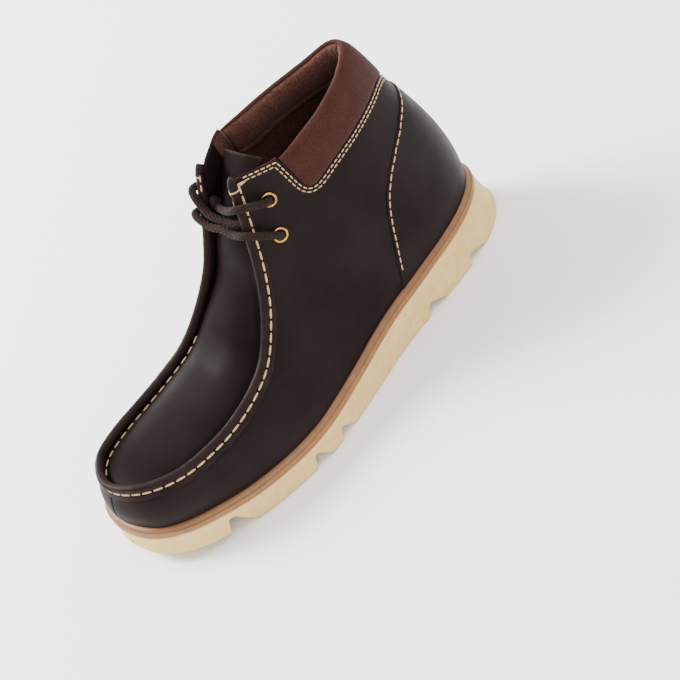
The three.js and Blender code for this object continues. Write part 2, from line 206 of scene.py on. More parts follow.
def share_of(y):
    """How far along the sole a place is, from 0 at the heel to 1 at the toe."""
    return np.clip(0.5 - y / LENGTH, 0, 1)


def foot(side, share, grow=0.0):
    """The sole's outline in plan, grown outward. side is 1 on the outer side and -1 inside."""
    def plan(turn):
        across = side * WIDTH * smooth(OUTLINE, turn)[..., 0 if side > 0 else 1]
        return np.stack([across, LENGTH / 2 * np.cos(np.pi * turn)], -1)
    turn = np.arccos(1 - 2 * np.asarray(share, float)) / np.pi
    run = unit(plan(np.minimum(turn + 0.01, 1)) - plan(np.maximum(turn - 0.01, 0)))
    outward = np.stack([-side * run[..., 1], side * run[..., 0]], -1)
    return plan(turn) + outward * np.broadcast_to(grow, turn.shape)[..., None]


def crepe_top(y):
    return HEIGHT * smooth(CREPE_TOP, share_of(y))[..., 0]


def floor_at(y):
    spring = np.maximum(0, (share_of(y) - SPRING_FROM) / (1 - SPRING_FROM))
    lift = np.maximum(0, 1 - share_of(y) / LIFT_TO)
    return TOE_SPRING * spring ** 2 + HEEL_LIFT * lift ** 2


def swing(x):
    """How far a groove is led forward here, so that it runs across the sole as a zigzag."""
    return SWING * (0.5 - np.abs(1 - np.mod((x / WIDTH / ZIGZAG_SPAN + 1) * ZIGZAGS, 2)))


def groove_height(y, across):
    """How far the tread is cut away over the floor, on a line that doesn't swing."""
    high = np.zeros(np.broadcast(y, across).shape)
    for front, back, depth, to_side in GROOVES:
        edges = [LENGTH * (front - 0.5) + ahead for ahead in GROOVE_FRONT]
        edges += [LENGTH * (back - 0.5) + ahead for ahead in GROOVE_BACK]
        cut = np.interp(y, edges, GROOVE_CUT)
        if not to_side:
            cut = cut * (1 - soft_step(np.abs(across), CLOSED_FROM, CLOSED_AT))
        high = np.maximum(high, WIDTH * depth * cut)
    return high


def drape(spots, ring=False, loop=False, zone=None):
    """A grid of faces over rows of places in millimetres. ring closes each row and loop closes the
    rows. zone gives each column, or each face, the number of its material."""
    if ring:
        spots = np.concatenate([spots, spots[:, :1]], axis=1)
    if loop:
        spots = np.concatenate([spots, spots[:1]])
    rows, columns = spots.shape[0] - 1, spots.shape[1] - 1
    made = bmesh.new()
    made.loops.layers.uv.new("UVMap")
    bmesh.ops.create_grid(made, x_segments=columns, y_segments=rows, size=0.5, calc_uvs=True)
    finishes = np.broadcast_to(0 if zone is None else zone, (rows, columns))
    for face in made.faces:
        middle = face.calc_center_median()
        face.smooth = True
        face.material_index = int(finishes[int((middle.y + 0.5) * rows),
                                           int((middle.x + 0.5) * columns)])
    places = (spots + TO_MIDDLE) * MM
    for vert in made.verts:
        vert.co = places[round((vert.co.y + 0.5) * rows), round((vert.co.x + 0.5) * columns)]
    bmesh.ops.remove_doubles(made, verts=made.verts, dist=1e-7)
    open_edges = [edge for edge in made.edges if edge.is_boundary]
    if ring and open_edges:
        bmesh.ops.holes_fill(made, edges=open_edges)
    bmesh.ops.recalc_face_normals(made, faces=made.faces)
    return made


def piece(name, made, finishes, slot=None, *nodes):
    """Puts a mesh in the scene: it rides with the boot and stands for these solids."""
    mesh = bpy.data.meshes.new(name)
    made.to_mesh(mesh)
    made.free()
    thing = bpy.data.objects.new(name, mesh)
    bpy.context.scene.collection.objects.link(thing)
    for one in finishes:
        mesh.materials.append(one)
    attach(thing, "root")
    if nodes:
        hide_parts(*nodes)
    return thing


def relief(material, layers):
    """Raises the surface: each layer is a height from 0 to 1, its depth in mm and its strength."""
    under = {}
    for height, depth, strength in layers:
        normal = node(material, "Bump", Height=height, Distance=depth * MM, Strength=strength,
                      **under)
        under = {"Normal": normal}
    into(material, "Normal", normal)


crepe = finish("crepe", (0.62, 0.425, 0.165), 0.8, Specular_IOR_Level=0.2)
cloudy = tint(crepe, spread(crepe, grain(crepe, 9), 0.35, 0.65),
              (0.59, 0.40, 0.15), (0.65, 0.45, 0.178))
mottle(crepe, grain(crepe, 0.9, 0), 0.68, 0.74, cloudy, (0.49, 0.31, 0.12))
relief(crepe, [(grain(crepe, 0.5), 0.15, 0.25), (grain(crepe, 2.6, 1.5, 0.6), 0.25, 0.3)])

CLOSEST = 0.12
slices = [LENGTH / 2 * np.cos(np.pi * np.linspace(0.004, 0.996, 170))]
for front, back, depth, to_side in GROOVES:
    slices += [LENGTH * (front - 0.5) + np.array([*GROOVE_FRONT, 0.3]),
               LENGTH * (back - 0.5) + np.array([-3.4, -2, *GROOVE_BACK])]
slices = np.sort(np.concatenate(slices))
slices = slices[np.concatenate([[True], np.diff(slices) > CLOSEST])]
still = soft_step(np.abs(slices), STRAIGHT_AT, FULL_AT)


def side_line(side, rise, inset):
    """A line along the crepe's side: rise is a share from its foot to its top."""
    y = slices.copy()
    for _ in range(8):
        foot_of = floor_at(y) + groove_height(slices, np.array(1.0))
        high = foot_of + rise * (crepe_top(y) - foot_of)
        share = (high - floor_at(y)) / (crepe_top(y) - floor_at(y))
        flare = HEEL_FLARE * np.maximum(0, 1 - share_of(y) / FLARE_TO) ** 2
        at_foot = (FOOT_OUT + flare) * (share - WAIST_AT) * (share - 1) / WAIST_AT
        at_waist = (WAIST + (1 - WAIST_AT) * flare) * share * (1 - share)
        grow = at_foot + at_waist / (WAIST_AT * (1 - WAIST_AT))
        edge = foot(side, share_of(y), grow - inset)
        y = slices + still * swing(edge[:, 0])
    return edge, high


SOLE_SIDE = [
    # rise  inset raised
    (0, 1.4, 0), (0, 0.45, 0.4), (0, 0, 1.4), (0.25, 0, 0), (0.4, 0, 0), (0.55, 0, 0),
    (0.7, 0, 0), (0.85, 0, 0), (1, 0, LIP - 0.7), (1, 0.2, LIP + 0.05), (1, 1, LIP + 0.25),
]


def sole_side(side):
    lines = []
    for rise, inset, raised in SOLE_SIDE:
        edge, high = side_line(side, rise, inset)
        lines.append(np.column_stack([edge, high + raised]))
    return np.stack(lines, 1)


outer, inner = sole_side(1), sole_side(-1)
across = np.linspace(-1, 1, 72)[1:-1]
share = (across + 1) / 2
tread_x = inner[:, :1, 0] + (outer[:, :1, 0] - inner[:, :1, 0]) * share
lead = [line[:, 0, 1] - slices - still * swing(line[:, 0, 0]) for line in (inner, outer)]
tread_y = (slices[:, None] + still[:, None] * swing(tread_x)
           + lead[0][:, None] * (1 - share) + lead[1][:, None] * share)
tread_z = floor_at(tread_y) + groove_height(slices[:, None], across[None])
tread = np.stack([tread_x, tread_y, tread_z], -1)
piece("sole", drape(np.concatenate([tread, outer, inner[:, ::-1]], 1), ring=True),
      [crepe], "crepe", "outsole")


# The welt is a strip of thick tan leather that is cemented on the crepe. Its edge is burnished, and
# a fine line is pressed in along its shoulder.
GAP, LEDGE, WELT = 0.3, 3.6, 7.1
WELT_SECTION = [
    # grown  high, from the lower edge round to the top
    (-1, LIP), (-0.3, LIP + 0.02), (0, LIP + 0.3), (0.05, 1.9), (0.05, 3), (0, 4.1),
    (-0.15, 4.5), (-0.4, 4.7), (-0.75, 4.45), (-0.95, 4.75), (-1.3, 5.5), (-2.0, 6.4),
    (-LEDGE + 0.8, WELT), (-LEDGE - 2, WELT),
]
PRESSED_LINE = 7


def welt_top(y):
    return crepe_top(y) + GAP + WELT


def plate(section, base, count):
    """A plate that follows the sole's outline. Each row of the section is how far it is grown and
    how high it is over the base, from the lowest to the highest."""
    shares = (1 - np.cos(np.pi * np.linspace(0.002, 0.998, count))) / 2
    halves = []
    for side in (1, -1):
        lines = []
        for grow, high in section:
            edge = foot(side, shares, grow)
            lines.append(np.column_stack([edge, base(edge[:, 1]) + high]))
        halves.append(np.stack(lines, 1))
    return np.concatenate([halves[0], halves[1][:, ::-1]], 1)


welt_edge = finish("welt_edge", (0.21, 0.10, 0.036), 0.5, Specular_IOR_Level=0.2)
welt_face = finish("welt_face", (0.165, 0.075, 0.028), 0.45, Specular_IOR_Level=0.25)
for stuff, dark, light in [(welt_edge, (0.188, 0.087, 0.031), (0.240, 0.114, 0.041)),
                           (welt_face, (0.145, 0.065, 0.024), (0.185, 0.084, 0.032))]:
    mottle(stuff, grain(stuff, 6, 4, 0.6), 0.3, 0.7, dark, light)
    relief(stuff, [(grain(stuff, 0.8, 3, 0.6), 0.1, 0.3)])
columns = 2 * len(WELT_SECTION)
face_or_edge = [int(PRESSED_LINE < n < columns - PRESSED_LINE - 2) for n in range(columns)]
piece("welt", drape(plate(WELT_SECTION, lambda y: crepe_top(y) + GAP, 260), ring=True,
                    zone=face_or_edge), [welt_edge, welt_face], "welt", "welt")


# The insole is a leather board inside the boot. It is covered in thin brown leather that the foot
# has begun to polish.
LEATHER, INSOLE = 2.2, 3.0
BOARD = -LEDGE - LEATHER - 1
INSOLE_SECTION = [
    # grown  high
    (BOARD - 2, 0), (BOARD - 0.4, 0.1), (BOARD, 0.6), (BOARD, INSOLE - 0.9),
    (BOARD - 0.5, INSOLE - 0.2), (BOARD - 2, INSOLE),
]
board = finish("insole", (0.030, 0.010, 0.005), 0.75)
mottle(board, grain(board, 25, 3), 0.35, 0.65, (0.022, 0.007, 0.004), (0.042, 0.015, 0.008))
relief(board, [(grain(board, 0.7), 0.1, 0.4)])
piece("insole", drape(plate(INSOLE_SECTION, lambda y: welt_top(y) + GAP, 120), ring=True),
      [board], "insole", "insole")


# The wall of the upper is waxed dark brown leather, pulled over the last and turned in under the
# welt. It stands round the whole foot up to the seam, the facings and the collar.
RIBS = np.array([
    # foot  middle  across  along   high    belly  rise   out    back    drop   inner  wider
    (1.000, -0.046, 0.000, -0.468, 0.335, 0.016, 0.060, 0.000, -0.022, 0.050, 0.000, 0.000),
    (0.975, -0.042, 0.126, -0.458, 0.338, 0.018, 0.062, 0.016, -0.018, 0.050, 0.000, 0.000),
    (0.930, -0.036, 0.247, -0.424, 0.334, 0.022, 0.070, 0.034, -0.016, 0.048, 0.000, 0.000),
    (0.870, -0.024, 0.322, -0.365, 0.322, 0.026, 0.085, 0.042, -0.008, 0.046, 0.000, 0.004),
    (0.790, -0.010, 0.345, -0.293, 0.320, 0.028, 0.092, 0.046, 0.000, 0.045, 0.000, 0.012),
    (0.700, -0.003, 0.336, -0.228, 0.323, 0.028, 0.092, 0.048, 0.000, 0.045, 0.012, 0.018),
    (0.620, 0.000, 0.309, -0.157, 0.345, 0.022, 0.100, 0.052, 0.000, 0.050, 0.030, 0.018),
    (0.550, 0.000, 0.268, -0.095, 0.392, 0.018, 0.120, 0.058, 0.002, 0.065, 0.070, 0.018),
    (0.490, 0.000, 0.229, -0.033, 0.516, 0.014, 0.150, 0.062, 0.004, 0.105, 0.062, 0.022),
    (0.445, 0.000, 0.202, 0.007, 0.650, 0.012, 0.180, 0.054, 0.006, 0.155, 0.050, 0.018),
    (0.410, 0.000, 0.182, 0.035, 0.790, 0.012, 0.210, 0.040, 0.008, 0.205, 0.030, 0.002),
    (0.375, 0.000, 0.169, 0.059, 0.930, 0.016, 0.235, 0.038, 0.012, 0.245, 0.010, -0.020),
    (0.355, 0.000, 0.165, 0.070, 0.984, 0.022, 0.238, 0.042, 0.016, 0.260, 0.000, -0.022),
    (0.335, 0.000, 0.203, 0.103, 0.978, 0.030, 0.234, 0.048, 0.014, 0.255, 0.012, -0.006),
    (0.305, 0.000, 0.244, 0.143, 0.968, 0.038, 0.230, 0.054, 0.012, 0.250, 0.028, 0.000),
    (0.250, 0.000, 0.266, 0.207, 0.984, 0.048, 0.225, 0.057, 0.014, 0.252, -0.004, 0.000),
    (0.170, 0.000, 0.248, 0.273, 0.993, 0.054, 0.235, 0.054, 0.024, 0.250, -0.018, 0.000),
    (0.090, 0.000, 0.176, 0.350, 1.003, 0.056, 0.255, 0.038, 0.030, 0.240, -0.018, 0.000),
    (0.030, 0.000, 0.086, 0.402, 1.017, 0.057, 0.272, 0.014, 0.030, 0.236, -0.004, 0.000),
    (0.000, 0.000, 0.000, 0.417, 1.019, 0.057, 0.280, 0.000, 0.026, 0.236, 0.000, 0.000),
])
LAST, COLLAR, SEAM_END = 19, 14.1, 11.95
EDGE = np.array([
    # row and share up the rib of the leather's edge, down the facing and back under the collar
    (14.03, 1.010), (14.05, 0.96), (14.07, 0.90), (14.08, 0.85), (14.10, 0.82), (14.16, 0.80),
    (14.27, 0.788), (14.45, 0.784), (14.75, 0.788), (15.1, 0.794), (15.62, 0.798), (16.2, 0.793),
    (16.71, 0.784), (17.18, 0.773), (17.64, 0.759), (18.2, 0.729), (18.6, 0.698), (19, 0.667),
])


def rib(n):
    """A rib's foot, its two handles and its top, counted round from the toe by the outer side."""
    side = 1 if n <= LAST else -1
    (at, middle, across, along, high, belly, rise, out, back, drop, inner_high,
     inner_wide) = RIBS[n if side > 0 else 2 * LAST - n]
    if side < 0:
        across, high = across + inner_wide, high + inner_high
    low, wide = foot(side, at, -LEDGE), foot(side, at, HEIGHT * belly - LEDGE)
    ground_z = welt_top(low[1]) + GAP
    top = np.array([WIDTH * (middle + side * across), LENGTH * along, HEIGHT * high])
    return [(*low, ground_z), (*wide, ground_z + HEIGHT * rise),
            top + HEIGHT * np.array([side * out, back, -drop]), top]


RAILS = np.array([rib(n) for n in range(2 * LAST)])


def skin(row, up, off=0.0):
    """The upper's skin: row counts the ribs, negative on the inner side, up runs from the welt to
    the top, and off lifts it in millimetres."""
    row, up = np.broadcast_arrays(np.asarray(row, float), np.asarray(up, float))

    def spot(row, up):
        place = np.mod(row, 2 * LAST)
        first = np.floor(place).astype(int)
        near = [RAILS[(first + k) % (2 * LAST)] for k in (-1, 0, 1, 2)]
        held = blend_rows(near, (place - first)[..., None, None])
        a, b, c, d = (held[..., k, :] for k in range(4))
        t = up[..., None]
        return (a * (1 - t) ** 3 + 3 * b * t * (1 - t) ** 2 + 3 * c * t ** 2 * (1 - t)
                + d * t ** 3)
    if np.isscalar(off) and off == 0:
        return spot(row, up)
    return spot(row, up) + outward(row, up, spot) * np.asarray(off)[..., None]


def outward(row, up, spot=skin):
    """The way the skin faces."""
    row, up = np.broadcast_arrays(np.asarray(row, float), np.asarray(up, float))
    across = spot(row + 0.02, up) - spot(row - 0.02, up)
    upward = spot(row, up + 0.01) - spot(row, up - 0.01)
    return -unit(np.cross(upward, across))


def edge_up(row):
    """The share up the rib where the leather ends."""
    return np.interp(np.abs(row), *EDGE.T)


def signed(row):
    """Rows counted round the boot, as rows of the outer and the inner side."""
    return np.where(row <= LAST, row, row - 2 * LAST)


leather = finish("leather", (0.0084, 0.0046, 0.0044), 0.46, Specular_IOR_Level=0.055)
mottle(leather, grain(leather, 45, 3), 0.35, 0.7,
       (0.0068, 0.0034, 0.0032), (0.0118, 0.0066, 0.0060))
into(leather, "Roughness", spread(leather, grain(leather, 14, 4, 0.6), 0.25, 0.75, 0.38, 0.56))
relief(leather, [(grain(leather, 0.55, 3, 0.6), 0.08, 0.3), (grain(leather, 4, 3, 0.6), 0.10, 0.25),
                 (grain(leather, 16, 2), 0.5, 0.25)])
raw_edge = finish("raw_edge", (0.030, 0.011, 0.006), 0.9, Specular_IOR_Level=0.1)
mottle(raw_edge, grain(raw_edge, 1.2, 3), 0.3, 0.7,
       (0.019, 0.0075, 0.0050), (0.048, 0.0205, 0.0130))
relief(raw_edge, [(grain(raw_edge, 0.35), 0.15, 0.6)])
lining = finish("lining", (0.06, 0.0225, 0.016), 0.95, Specular_IOR_Level=0.1,
                Sheen_Weight=0.04, Sheen_Roughness=0.5)
nap = grain(lining, 1.1, 4, 0.75)
mottle(lining, nap, 0.38, 0.66, (0.038, 0.0128, 0.0090), (0.105, 0.044, 0.033))
relief(lining, [(nap, 0.5, 0.6), (grain(lining, 0.4, 3, 0.7), 0.2, 0.4)])

SKIN_LINES, EDGE_LINES, LINING_LINES = 46, 3, 32
FACING_SHADE_TO, FACING_SHADE_LINES = 13.3, 16
TOE_SEAM_DEEP = 0.55
WALL_SECTION = [
    # share of the way up, lifted; up the outside, over the raw edge and down the lining
    *[(t, 0) for t in np.linspace(0, 0.955, 44)],
    (0.975, 0), (0.988, -0.08), (0.997, -0.45), (1, -1.1), (0.997, -1.75), (0.988, -2.1),
    (0.975, -LEATHER),
    *[(t, -LEATHER) for t in np.linspace(0.955, 0, 30)],
]
collar_end = np.linspace(14.0, 14.3, 25)
wall_rows = np.concatenate([np.linspace(0, 2 * LAST, 457)[:-1],
                            np.linspace(-0.12, 0.12, 17) % (2 * LAST),
                            collar_end, 2 * LAST - collar_end])
wall_rows = signed(np.unique(np.round(wall_rows, 4)))
wall = []
for share, off in WALL_SECTION:
    up = edge_up(wall_rows) * share
    lift = np.full(len(wall_rows), float(off))
    if off == 0:
        from_seam = skin(wall_rows, up)[:, 0] - RAILS[0, 3, 0]
        lift -= TOE_SEAM_DEEP * np.exp(-from_seam ** 2 / 0.5) * (np.abs(wall_rows) < 2)
    wall.append(skin(wall_rows, up, lift))
wall_zone = np.tile([0] * SKIN_LINES + [1] * EDGE_LINES + [2] * LINING_LINES, (len(wall_rows), 1))
# Along the seam and up the facings, the upper lines of the inner face take the dark outer leather
# instead of the lining: painted shade for the gap between the roll and the tongue.
wall_zone[np.abs(wall_rows) < FACING_SHADE_TO, SKIN_LINES:SKIN_LINES + FACING_SHADE_LINES] = 0
piece("wall", drape(np.stack(wall, 1), ring=True, loop=True, zone=wall_zone),
      [leather, raw_edge, lining], "leather", "upper")


# The counter is a second piece of the same leather round the heel. It lies on the wall and is sewn
# on with one row of stitches.
COUNTER_TOP = np.array([
    # row and share up the rib of its upper edge
    (14.02, 0.0), (14.21, 0.064), (14.41, 0.148), (14.67, 0.236), (14.95, 0.333), (15.26, 0.418),
    (15.52, 0.472), (15.95, 0.525), (16.52, 0.565), (17.2, 0.590), (18.15, 0.604), (18.6, 0.606),
    (19, 0.604),
])
COUNTER = 0.7
COUNTER_SECTION = [
    # share of the way up, lifted
    *[(t, COUNTER) for t in np.linspace(0, 0.97, 40)],
    (0.985, COUNTER * 0.9), (0.995, COUNTER * 0.6), (1, 0.05),
    *[(t, -0.05) for t in np.linspace(0.99, 0, 6)],
]


def round_heel(first, count):
    """Rows from one side round the heel to the other, closer together at both ends."""
    return signed(LAST + (LAST - first) * np.sin(np.linspace(-1, 1, count) * np.pi / 2))


def counter_up(row):
    return np.interp(np.abs(row), *COUNTER_TOP.T)


counter_rows = round_heel(COUNTER_TOP[0, 0], 220)
counter_tops = np.maximum(counter_up(counter_rows), 0.004)
counter = [skin(counter_rows, counter_tops * share, np.full(len(counter_rows), off))
           for share, off in COUNTER_SECTION]
piece("counter", drape(np.stack(counter, 1), ring=True), [leather], "leather")


# The apron is the domed top of the toe, and it runs on upwards as the tongue: one sheet of the same
# leather, gathered into the seam at its sides and cut raw at the top.
CROWN = [0, 0.006, 0.022, 0.038, 0.050, 0.056, 0.058, 0.060, 0.060, 0.052, 0.046, 0.042, 0.040]
SINK, TONGUE = 1.0, 2.6
FURROW, FURROW_AT, FURROW_WIDE = 1.2, 6.3, 2.2
TONGUE_ROWS = [
    # along   high    middle  half   drop
    (-0.0468, 0.5385, 0.000, 0.205, 0.022), (-0.0248, 0.6165, 0.000, 0.193, 0.019),
    (0.002, 0.720, 0.000, 0.168, 0.021), (0.037, 0.824, 0.000, 0.118, 0.026),
    (0.077, 0.920, 0.004, 0.135, 0.024), (0.120, 1.003, 0.014, 0.150, 0.024),
]
TONGUE_FROM, TONGUE_RIBS = 7.95, 3.55
THROAT_FROM, THROAT_TO, APRON_LAST = 7.0, 9.3, 10.5
SIDEWAYS = np.array([1.0, 0, 0])


def seam_frame(row):
    """Across the seam and up from it, between the two sides of the boot."""
    def middle(r):
        return (skin(r, 1) + skin(-r, 1)) / 2
    chord = unit(skin(row, 1) - skin(-row, 1))
    along = unit(middle(row + 0.05) - middle(np.maximum(row - 0.05, 0.01)))
    return chord, unit(np.cross(chord, along))


def apron_at(row, share, off):
    lift = seam_frame(row)[1]
    span = skin(row, 1) - skin(-row, 1)
    from_seam = (1 - np.abs(share)) * np.linalg.norm(span, axis=-1) / 2
    high = HEIGHT * smooth(CROWN, row / 12)[..., 0] * (1 - np.abs(share) ** 2.2) - SINK + off
    high = high - FURROW * np.exp(-((from_seam - FURROW_AT) / FURROW_WIDE) ** 2)
    return skin(-row, 1) + span * ((share + 1) / 2)[..., None] + lift * high[..., None]


def tongue_at(share, across, off=0.0):
    share = np.asarray(share, float)

    def middle(at):
        along, high, aside, half, drop = np.moveaxis(smooth(TONGUE_ROWS, at), -1, 0)
        return np.stack([WIDTH * aside, LENGTH * along, HEIGHT * high], -1)
    along = unit(middle(np.minimum(share + 0.02, 1)) - middle(np.maximum(share - 0.02, 0)))
    lift = unit(np.cross(SIDEWAYS, along))
    half, drop = np.moveaxis(smooth(TONGUE_ROWS, share), -1, 0)[3:]
    return (middle(share) + SIDEWAYS * (WIDTH * half * across)[..., None]
            + lift * (off - HEIGHT * drop * across ** 2)[..., None])


def front_at(row, share, off):
    """The apron below the throat, the tongue above it, and one smooth sheet between them."""
    row, share = np.broadcast_arrays(row, share)
    up = (row - TONGUE_FROM) / TONGUE_RIBS
    start = tongue_at(np.zeros(up.shape), share, off)
    slope = (tongue_at(np.full(up.shape, 0.05), share, off) - start) / 0.05
    upper = tongue_at(np.clip(up, 0, 1), share, off) + slope * np.minimum(up, 0)[..., None]
    into_tongue = soft_step(row, THROAT_FROM, THROAT_TO)[..., None]
    return (apron_at(np.minimum(row, APRON_LAST), share, off) * (1 - into_tongue)
            + upper * into_tongue)


def show_cut_ends(made, number=1):
    """Gives the many-sided faces that close a mesh's ends the finish with this number."""
    for face in made.faces:
        if len(face.verts) > 4:
            face.material_index = number
    return made


# A copy of the wall's leather with less gloss and a darker colour. The darker colour is painted
# shade on the apron and tongue, whose upward faces catch more light than the wall's sides.
apron_leather_painted_shade = finish("apron_leather_painted_shade", (0.0060, 0.0034, 0.0032), 0.45,
                        Specular_IOR_Level=0.017)
mottle(apron_leather_painted_shade, grain(apron_leather_painted_shade, 40, 3), 0.35, 0.7,
       (0.0054, 0.0030, 0.0028), (0.0088, 0.0052, 0.0048))
into(apron_leather_painted_shade, "Roughness",
     spread(apron_leather_painted_shade, grain(apron_leather_painted_shade, 14, 4, 0.6), 0.25, 0.75, 0.36, 0.52))
relief(apron_leather_painted_shade, [(grain(apron_leather_painted_shade, 0.55, 3, 0.6), 0.08, 0.3),
                        (grain(apron_leather_painted_shade, 5, 3, 0.6), 0.12, 0.3),
                        (grain(apron_leather_painted_shade, 18, 2), 0.6, 0.3)])

RAGGED, SLANT, RAGGED_FROM = 0.02, 0.04, 11
top_row = TONGUE_FROM + TONGUE_RIBS
front_rows = np.concatenate([0.05 + 6.95 * np.linspace(0, 1, 110) ** 1.2,
                             np.linspace(7, top_row, 90)[1:]])
shares = np.sin(np.linspace(-1, 1, 72) * np.pi / 2)
ragged = RAGGED * np.sin(shares * 41) * np.sin(shares * 17)
front = []
for off, order in ((0.0, 1), (-TONGUE, -1)):
    for share, rag in list(zip(shares, ragged))[::order]:
        slanted = top_row - TONGUE_RIBS * SLANT * (1 - share) / 2
        reach = np.minimum(front_rows, slanted + rag * (front_rows > RAGGED_FROM))
        front.append(front_at(reach, np.full(reach.shape, share), off))
side = len(shares) - 1
front_zone = [0] * side + [1] + [2] * side + [1]
piece("apron_and_tongue", show_cut_ends(drape(np.stack(front, 1), ring=True, zone=front_zone)),
      [apron_leather_painted_shade, raw_edge, lining], "tongue", "tongue")


# The moccasin seam is a roll of leather: the edges of the wall and the apron are drawn together
# round a cord and sewn by hand, so that it puckers a little at each stitch.
ROLL_WIDE, ROLL_HIGH = 5.3, 5.6
ROLL_IN, ROLL_UP = 2.9, 1.7
SEAM_PITCH, PUCKER = 7.0, 0.05


def seam_sides(row):
    """The seam's middle, the way it stands and the way aside from it, away from the apron."""
    lift = seam_frame(np.maximum(np.abs(row), 0.2))[1]
    crest = unit(outward(row, np.full(np.shape(row), 0.97)) + lift)
    run = unit(skin(row + 0.03, 1) - skin(row - 0.03, 1))
    aside = unit(np.cross(run, crest))
    return skin(row, 1), unit(np.cross(aside, run)), aside


def by_seam(row, aside_mm, stand_mm):
    """A place this far aside from the seam and this far over it."""
    row = np.asarray(row, float)
    at, stand, aside = seam_sides(row)
    return (at + aside * np.asarray(aside_mm)[..., None]
            + stand * np.asarray(stand_mm)[..., None])


def length_along(line):
    return np.concatenate([[0], np.cumsum(np.linalg.norm(np.diff(line, axis=0), axis=1))])


# A lighter copy of the wall's leather for the roll and the flange: painted light for the soft
# highlight along the seam's ridge.
seam_leather_painted_light = finish("seam_leather_painted_light", (0.0120, 0.0062, 0.0052), 0.5, Specular_IOR_Level=0.06)
mottle(seam_leather_painted_light, grain(seam_leather_painted_light, 12, 3), 0.35, 0.7,
       (0.0095, 0.0046, 0.0040), (0.0165, 0.0086, 0.0072))
relief(seam_leather_painted_light, [(grain(seam_leather_painted_light, 0.55, 3, 0.6), 0.08, 0.3),
                      (grain(seam_leather_painted_light, 3, 3, 0.6), 0.12, 0.3)])

seam_rows = np.linspace(-SEAM_END, SEAM_END, 1200)
seam_length = length_along(skin(seam_rows, 1))
pucker = PUCKER * (0.5 + 0.5 * np.cos(2 * np.pi * seam_length / SEAM_PITCH)) ** 2
roll = []
for turn in np.linspace(0, 2 * np.pi, 29)[:-1]:
    reach = 1 - pucker * (0.5 + 0.5 * math.cos(turn))
    roll.append(by_seam(seam_rows, ROLL_WIDE / 2 * reach * math.cos(turn) - ROLL_IN,
                        ROLL_UP + ROLL_HIGH / 2 * reach * math.sin(turn)))
piece("rolled_seam", show_cut_ends(drape(np.stack(roll, 1), ring=True)),
      [seam_leather_painted_light, raw_edge], "leather")


# Outside the roll the wall's edge is turned out as a narrow flat flange. It is cut by hand, so its
# edge wanders a little. Its cut edge is painted dark round the toe, as painted shade, and left raw
# up the facings.
FLANGE, FLANGE_THICK = 4.0, 0.9
RAW_FROM = 7.5
FLANGE_SECTION = [
    # down   off, across the top, round the cut edge and back underneath
    (-0.8, -0.6), (-0.9, 0.2), (-0.4, 0.7), (0.4, FLANGE_THICK), (2.2, FLANGE_THICK),
    (FLANGE - 0.25, FLANGE_THICK), (FLANGE, FLANGE_THICK * 0.75),
    (FLANGE + 0.05, 0.1), (FLANGE, -0.1), (1.5, -0.2),
]
CUT = slice(5, 7)


def rise(row):
    """Millimetres of leather for the whole share up a rib, near its top."""
    return np.linalg.norm(skin(row, 0.98) - skin(row, 0.94), axis=-1) / 0.04


def beside(row, down, off):
    """A place on the wall this far down from the seam, lifted off the leather."""
    row = np.asarray(row, float)
    return skin(row, 1 - down / rise(row), np.full(row.shape, off))


# Painted shade: the flange's cut edge round the toe is coloured nearly black for the dark line of
# shade along it.
edge_painted_shade = finish("edge_painted_shade", (0.013, 0.0056, 0.0042), 0.85, Specular_IOR_Level=0.05)
mottle(edge_painted_shade, grain(edge_painted_shade, 5, 3), 0.35, 0.7,
       (0.008, 0.0036, 0.0030), (0.022, 0.0098, 0.0070))
relief(edge_painted_shade, [(grain(edge_painted_shade, 0.4), 0.1, 0.5)])

flange_rows = np.linspace(-SEAM_END, SEAM_END, 1000)
cut_along = seam_length[:len(flange_rows)]
wander = 0.15 * np.sin(cut_along * 0.9) + 0.1 * np.sin(cut_along * 2.3 + 1)
flange = [beside(flange_rows, down + wander * (down > 3), off) for down, off in FLANGE_SECTION]
flange_zone = np.zeros((len(flange_rows) - 1, len(FLANGE_SECTION)), int)
flange_zone[:, CUT] = 1
flange_zone[np.abs(flange_rows[1:]) > RAW_FROM, CUT] = 2
piece("flange", drape(np.stack(flange, 1), ring=True, zone=flange_zone),
      [seam_leather_painted_light, edge_painted_shade, raw_edge], "leather")


# The collar is foam under soft brown suede, lined with a darker napped leather and sewn to the top
# of the wall. It rolls over at the top, and its lining creases at the heel.
PAD, PAD_AT_END = 8.0, 0.62
CREASE, CREASE_WIDE = 2.2, 0.06
OUTSIDE = [
    # share from the wall's edge to the top, share of the pad lifted
    (-0.02, -0.1), (0.02, 0.07), (0.08, 0.14), (0.16, 0.19), (0.28, 0.235), (0.42, 0.26),
    (0.56, 0.26), (0.68, 0.24), (0.79, 0.17), (0.87, 0.06), (0.93, -0.07), (0.96, -0.19),
    (0.966, -0.31), (0.955, -0.41), (0.935, -0.475), (0.925, -0.45),
]
INSIDE = [
    (0.918, -0.42), (0.912, -0.455), (0.915, -0.53), (0.90, -0.66), (0.86, -0.80), (0.78, -0.92),
    (0.67, -0.99), (0.54, -1.01), (0.41, -0.99), (0.30, -0.93), (0.21, -0.84), (0.165, -0.76),
    (0.155, -0.69), (0.145, -0.70), (0.13, -0.76), (0.07, -0.78), (0.0, -0.74),
]
suede = finish("suede", (0.028, 0.0084, 0.0056), 0.95, Specular_IOR_Level=0.1,
               Sheen_Weight=0.05, Sheen_Roughness=0.45)
brushed = tint(suede, spread(suede, grain(suede, 9, 3, 0.6), 0.35, 0.65),
               (0.0265, 0.0079, 0.0054), (0.0335, 0.0105, 0.0072))
mottle(suede, grain(suede, 0.7, 3, 0.8), 0.5, 0.72, brushed, (0.062, 0.023, 0.0165))
relief(suede, [(grain(suede, 0.6, 3, 0.7), 0.3, 0.6), (grain(suede, 12, 2), 0.8, 0.3)])

